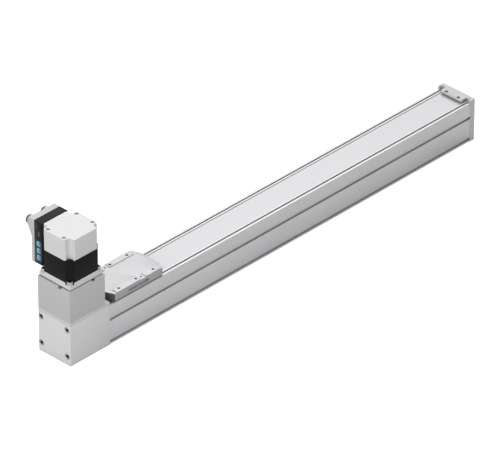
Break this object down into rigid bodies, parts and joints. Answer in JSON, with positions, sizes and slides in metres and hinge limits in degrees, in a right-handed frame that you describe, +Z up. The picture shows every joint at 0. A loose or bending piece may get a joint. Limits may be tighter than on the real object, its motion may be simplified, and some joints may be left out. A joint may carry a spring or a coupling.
{
  "type": "belt driven linear axis",
  "caption": "Linear axis with a slide on an inner ball rail, pulled by a toothed belt; motor with controller stands upright on the drive end.",
  "frame": {"origin": "on the underside of the drive housing, under the drive shaft's axis, half way across the profile", "axes": "+X along the travel from the drive end to the far end, +Y to the side of the controller box, +Z up along the drive shaft"},
  "size_m": [0.787, 0.0948, 0.1924],
  "materials": {
    "anodised_aluminium": "satin anodised",
    "drive_aluminium": "satin anodised",
    "cast_silver": "fine silver paint",
    "motor_black": "black paint",
    "black_plastic": "matt",
    "wiper_plastic": "matt",
    "panel_black": "gloss",
    "window_blue": "gloss",
    "hardened_steel": "ground",
    "zinc_steel": "bright zinc",
    "strip_steel": "brushed stainless",
    "nickel_brass": "nickel plated",
    "contact_gold": "gold plated",
    "laminations": "dark, varnished",
    "magnet": "nickel plated",
    "board_green": "lacquered",
    "belt_rubber": "matt",
    "buffer_rubber": "matt",
    "spider_red": "matt"
  },
  "bodies": {
    "frame": {"axis_profile": "anodised_aluminium", "cover_plate": "anodised_aluminium", "cover_strip": "strip_steel", "guide_rail": "hardened_steel", "rail_screws": "zinc_steel", "end_cap": "drive_aluminium", "end_cap_screws": "zinc_steel", "strip_clamps": "anodised_aluminium", "strip_clamp_screws": "zinc_steel", "end_buffers": "buffer_rubber", "idler_bracket": "drive_aluminium", "idler_axle": "hardened_steel", "tension_screws": "zinc_steel", "drive_housing": "drive_aluminium", "drive_housing_screws": "zinc_steel", "profile_adapter": "anodised_aluminium", "adapter_screws": "zinc_steel", "shaft_bearings": "hardened_steel", "bearing_carrier": "drive_aluminium", "coupling_housing": "drive_aluminium", "coupling_housing_screws": "zinc_steel", "motor_flange": "cast_silver", "motor_screws": "zinc_steel", "motor_casing": "motor_black", "stator": "laminations", "motor_bearings": "hardened_steel", "encoder_cover": "cast_silver", "encoder_cover_screws": "zinc_steel", "encoder_board": "board_green", "controller_frame": "black_plastic", "operator_panel": "panel_black", "panel_windows": "window_blue", "controller_cover": "cast_silver", "controller_screws": "zinc_steel", "controller_board": "board_green", "power_connector": "nickel_brass", "signal_connector": "nickel_brass", "connector_pins": "contact_gold", "toothed_belt": "belt_rubber"},
    "carriage": {"slide_plate": "anodised_aluminium", "table_screws": "zinc_steel", "carriage_body": "anodised_aluminium", "bearing_blocks": "hardened_steel", "block_end_caps": "black_plastic", "block_screws": "zinc_steel", "belt_clamp": "anodised_aluminium", "belt_clamp_screws": "zinc_steel", "slide_wipers": "wiper_plastic", "position_magnet": "magnet"},
    "drive_line": {"drive_shaft": "hardened_steel", "drive_pulley": "anodised_aluminium", "coupling_hubs": "anodised_aluminium", "coupling_spider": "spider_red", "motor_shaft": "hardened_steel", "rotor": "laminations", "encoder_magnet": "magnet"},
    "idler": {"idler_pulley": "anodised_aluminium", "idler_bearings": "hardened_steel"}
  },
  "joints": [
    {"name": "carriage_slide", "type": "slide", "parent": "frame", "child": "carriage", "axis": [1, 0, 0], "range_m": [0, 0.588], "deforming": ["toothed_belt"]},
    {"name": "drive_spin", "type": "hinge", "parent": "frame", "child": "drive_line", "pos_m": [0, 0, 0.042], "axis": [0, 0, 1], "range_deg": [0, 2700], "deforming": ["toothed_belt"]},
    {"name": "idler_spin", "type": "hinge", "parent": "frame", "child": "idler", "pos_m": [0.7275, 0, 0.042], "axis": [0, 0, 1], "range_deg": [0, 2700], "deforming": ["toothed_belt"]}
  ],
  "couplings": [
    {"joint": "drive_spin", "follows": "carriage_slide", "rad_per_m": 78.54},
    {"joint": "idler_spin", "follows": "carriage_slide", "rad_per_m": 78.54}
  ]
}
